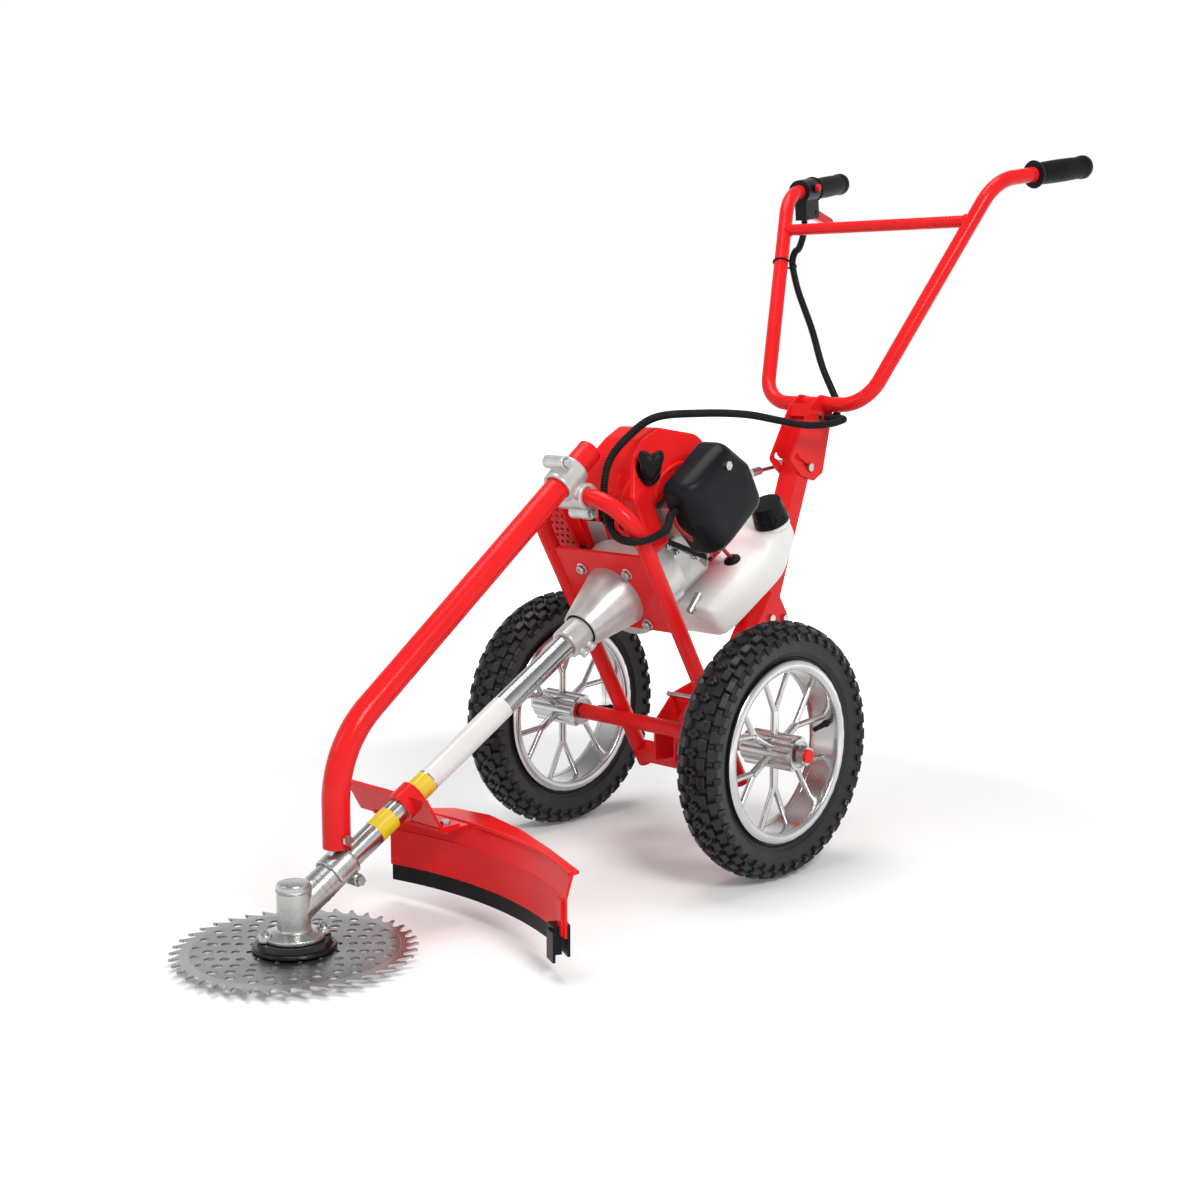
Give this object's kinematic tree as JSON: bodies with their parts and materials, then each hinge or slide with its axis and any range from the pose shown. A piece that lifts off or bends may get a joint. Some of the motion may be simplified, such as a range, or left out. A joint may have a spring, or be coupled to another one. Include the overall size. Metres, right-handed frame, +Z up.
{
  "type": "wheeled brush cutter",
  "caption": "Walk-behind wheeled brush cutter: an engine on a two-wheeled tube frame drives a guarded saw blade through a sloping shaft, steered by a tilting handlebar.",
  "frame": {"origin": "where the blade's axis meets the ground, the middle of the glide bowl's flat foot", "axes": "+Y runs back from the blade to the grips, +X is the operator's left, +Z is up"},
  "size_m": [0.4789, 1.3311, 0.8805],
  "materials": {
    "red_paint": "glossy powder coat",
    "red_plastic": "glossy moulded",
    "cast_alloy": "die cast, satin",
    "bright_alloy": "polished",
    "steel": "brushed",
    "zinc": "zinc plated",
    "black_plastic": "satin moulded",
    "black_rubber": "matte",
    "tyre": "matte",
    "tank_plastic": "milky moulded"
  },
  "bodies": {
    "frame": {"arch_frame": "red_paint", "mount_plate": "red_paint", "axle_tube": "red_paint", "axle_shaft": "red_paint", "boom_tube": "red_paint", "column": "red_paint", "column_bracket": "red_paint", "guard_bracket": "red_paint", "muffler_guard": "red_paint", "engine_shroud": "red_plastic", "starter_cover": "red_plastic", "guard_shield": "red_plastic", "gear_head": "cast_alloy", "clutch_cone": "cast_alloy", "boom_clamp": "cast_alloy", "boom_saddle": "cast_alloy", "tube_collar": "cast_alloy", "fan_housing": "cast_alloy", "crankcase": "cast_alloy", "engine_cylinder": "cast_alloy", "carburettor": "cast_alloy", "piston_and_rod": "cast_alloy", "shaft_tube": "bright_alloy", "shaft_bearings": "steel", "wheel_bearings": "steel", "crankshaft": "steel", "flywheel": "steel", "muffler": "steel", "frame_bolts": "zinc", "air_filter_cover": "black_plastic", "boss_ring": "black_plastic", "guard_knife": "black_plastic", "conduit_lower": "black_plastic", "damper_sleeve": "black_rubber", "guard_flap": "black_rubber", "spark_plug": "black_rubber", "fuel_tank": "tank_plastic"},
    "cutter": {"glide_bowl": "steel", "saw_blade": "steel", "blade_flange": "steel", "output_spindle": "steel"},
    "drive_line": {"drive_shaft": "steel", "pinion_gear": "steel", "clutch_drum": "steel"},
    "left_wheel": {"left_rim": "bright_alloy", "left_tyre": "tyre"},
    "right_wheel": {"right_rim": "bright_alloy", "right_tyre": "tyre"},
    "handle": {"handle_bracket": "red_paint", "handlebar": "red_paint", "left_grip": "black_rubber", "right_grip": "black_rubber", "throttle_housing": "black_plastic", "conduit_upper": "black_plastic"},
    "throttle": {"throttle_lever": "red_plastic"},
    "stop_switch": {"stop_button": "red_plastic"},
    "lock": {"lock_lever": "zinc"},
    "cap": {"fuel_cap": "black_plastic"},
    "starter_drum": {"starter_reel": "black_plastic"},
    "starter_pull": {"starter_grip": "black_plastic"}
  },
  "joints": [
    {"name": "blade_spin", "type": "hinge", "parent": "frame", "child": "cutter", "pos_m": [0, 0, 0.01], "axis": [0, 0, 1], "continuous": true},
    {"name": "drive_shaft_spin", "type": "hinge", "parent": "frame", "child": "drive_line", "pos_m": [0, 0, 0.05], "axis": [0, 0.866, 0.5], "continuous": true},
    {"name": "left_wheel_spin", "type": "hinge", "parent": "frame", "child": "left_wheel", "pos_m": [0.177, 0.5684, 0.1535], "axis": [1, 0, 0], "continuous": true},
    {"name": "right_wheel_spin", "type": "hinge", "parent": "frame", "child": "right_wheel", "pos_m": [-0.177, 0.5684, 0.1535], "axis": [1, 0, 0], "continuous": true},
    {"name": "handle_tilt", "type": "hinge", "parent": "frame", "child": "handle", "pos_m": [0, 0.85611, 0.52956], "axis": [1, 0, 0], "range_deg": [0, 26]},
    {"name": "throttle_squeeze", "type": "hinge", "parent": "handle", "child": "throttle", "pos_m": [-0.18533, 1.09996, 0.81649], "axis": [0.9817, 0.1906, 0], "range_deg": [0, 22], "stiffness_Nm_per_rad": 0.3},
    {"name": "stop_press", "type": "slide", "parent": "handle", "child": "stop_switch", "axis": [-0.9817, -0.1906, 0], "range_m": [0, 0.003], "stiffness_N_per_m": 300},
    {"name": "lock_turn", "type": "hinge", "parent": "frame", "child": "lock", "pos_m": [0, 0.83623, 0.46454], "axis": [1, 0, 0], "range_deg": [0, 150]},
    {"name": "cap_turn", "type": "hinge", "parent": "frame", "child": "cap", "pos_m": [0.059, 0.70716, 0.40516], "axis": [0, -0.5, 0.866], "range_deg": [0, 270]},
    {"name": "reel_turn", "type": "hinge", "parent": "frame", "child": "starter_drum", "pos_m": [0, 0.59929, 0.396], "axis": [0, -0.866, -0.5], "range_deg": [0, 1400], "stiffness_Nm_per_rad": 0.01},
    {"name": "starter_draw", "type": "slide", "parent": "frame", "child": "starter_pull", "axis": [-1, 0, 0], "range_m": [0, 0.5]}
  ],
  "couplings": [
    {"joint": "drive_shaft_spin", "follows": "blade_spin", "ratio": -1.3571},
    {"joint": "starter_draw", "follows": "reel_turn", "m_per_rad": 0.02}
  ]
}
